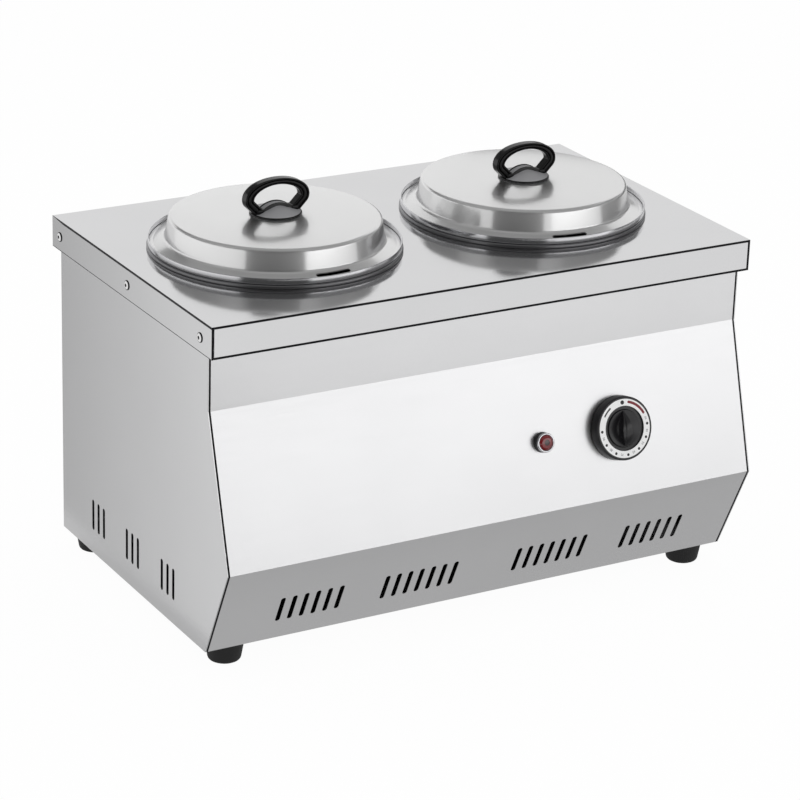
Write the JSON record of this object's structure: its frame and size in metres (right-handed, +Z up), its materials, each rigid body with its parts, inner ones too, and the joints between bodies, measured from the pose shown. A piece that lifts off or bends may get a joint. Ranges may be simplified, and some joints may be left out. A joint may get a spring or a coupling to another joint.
{
  "type": "soup kettle",
  "caption": "Electric counter-top soup kettle with lift-out lidded pots hanging in a folded sheet-steel casing, sloping fascia with thermostat knob and lamp.",
  "frame": {"origin": "centre of the whole part's bounding box in plan, at the counter it stands on", "axes": "+Z up, -Y towards the operator, +X to the operator's right; the side-by-side wells lie along X"},
  "size_m": [0.603, 0.396, 0.4271],
  "materials": {
    "polished_steel": "polished stainless sheet with a fine grain",
    "satin_steel": "satin stainless sheet",
    "pot_steel": "spun stainless, satin inside",
    "lid_steel": "spun stainless, circular brushing",
    "well_steel": "spun stainless, dull from heat",
    "zinc_steel": "bright zinc plate",
    "rivet_steel": "bright stainless pop rivet",
    "foot_rubber": "matt moulded rubber",
    "handle_phenolic": "glossy moulded phenolic",
    "knob_phenolic": "satin moulded phenolic",
    "dial_print": null,
    "element_sheath": "dark oxidised heating tube",
    "thermostat_case": "dull moulded case",
    "copper": "drawn copper",
    "brass": "turned brass",
    "lamp_black": "moulded lamp body",
    "lamp_chrome": "plated bezel",
    "lamp_red": "red moulded lens",
    "gland_nylon": "moulded nylon",
    "block_ceramic": "glazed steatite",
    "wire_brown": "brown silicone insulation",
    "wire_blue": "blue silicone insulation",
    "wire_earth": "green and yellow insulation"
  },
  "bodies": {
    "casing": {"top_plate": "polished_steel", "front_panel": "polished_steel", "side_panel_left": "satin_steel", "side_panel_right": "satin_steel", "back_panel": "satin_steel", "bottom_plate": "satin_steel", "skirt_rivets": "rivet_steel", "back_panel_screws": "zinc_steel", "foot_front_left": "foot_rubber", "foot_front_right": "foot_rubber", "foot_back_left": "foot_rubber", "foot_back_right": "foot_rubber", "foot_screws": "zinc_steel", "foot_nuts": "zinc_steel", "well_can_left": "well_steel", "well_can_right": "well_steel", "heating_element_left": "element_sheath", "heating_element_right": "element_sheath", "element_clamp_left": "zinc_steel", "element_clamp_right": "zinc_steel", "clamp_nuts": "zinc_steel", "thermostat_body": "thermostat_case", "thermostat_screws": "zinc_steel", "sensor_bulb": "copper", "bulb_clip": "zinc_steel", "capillary_tube": "copper", "lamp_body": "lamp_black", "lamp_bezel": "lamp_chrome", "lamp_lens": "lamp_red", "lamp_nut": "gland_nylon", "cable_gland": "gland_nylon", "gland_cap": "gland_nylon", "gland_locknut": "gland_nylon", "terminal_block": "block_ceramic", "terminal_screws": "brass", "earth_stud": "brass", "earth_nuts": "brass", "wire_live": "wire_brown", "wire_heat_left": "wire_brown", "wire_heat_right": "wire_brown", "wire_return_left": "wire_blue", "wire_return_right": "wire_blue", "wire_lamp_live": "wire_brown", "wire_lamp_return": "wire_blue", "wire_earth": "wire_earth"},
    "knob": {"control_knob": "knob_phenolic", "dial_ring": "dial_print", "thermostat_shaft": "zinc_steel"},
    "left_pot": {"pot_left": "pot_steel"},
    "left_lid": {"lid_left": "lid_steel", "lid_handle_left": "handle_phenolic", "handle_screw_left": "zinc_steel", "handle_washer_left": "zinc_steel"},
    "right_pot": {"pot_right": "pot_steel"},
    "right_lid": {"lid_right": "lid_steel", "lid_handle_right": "handle_phenolic", "handle_screw_right": "zinc_steel", "handle_washer_right": "zinc_steel"}
  },
  "joints": [
    {"name": "knob_turn", "type": "hinge", "parent": "casing", "child": "knob", "pos_m": [0.146, -0.1775, 0.18452], "axis": [0, 0.9596, -0.2815], "range_deg": [0, 320]},
    {"name": "left_pot_lift", "type": "slide", "parent": "casing", "child": "left_pot", "axis": [0, 0, 1], "range_m": [0, 0.26]},
    {"name": "left_lid_lift", "type": "slide", "parent": "left_pot", "child": "left_lid", "axis": [0, 0, 1], "range_m": [0, 0.12]},
    {"name": "right_pot_lift", "type": "slide", "parent": "casing", "child": "right_pot", "axis": [0, 0, 1], "range_m": [0, 0.26]},
    {"name": "right_lid_lift", "type": "slide", "parent": "right_pot", "child": "right_lid", "axis": [0, 0, 1], "range_m": [0, 0.12]}
  ]
}
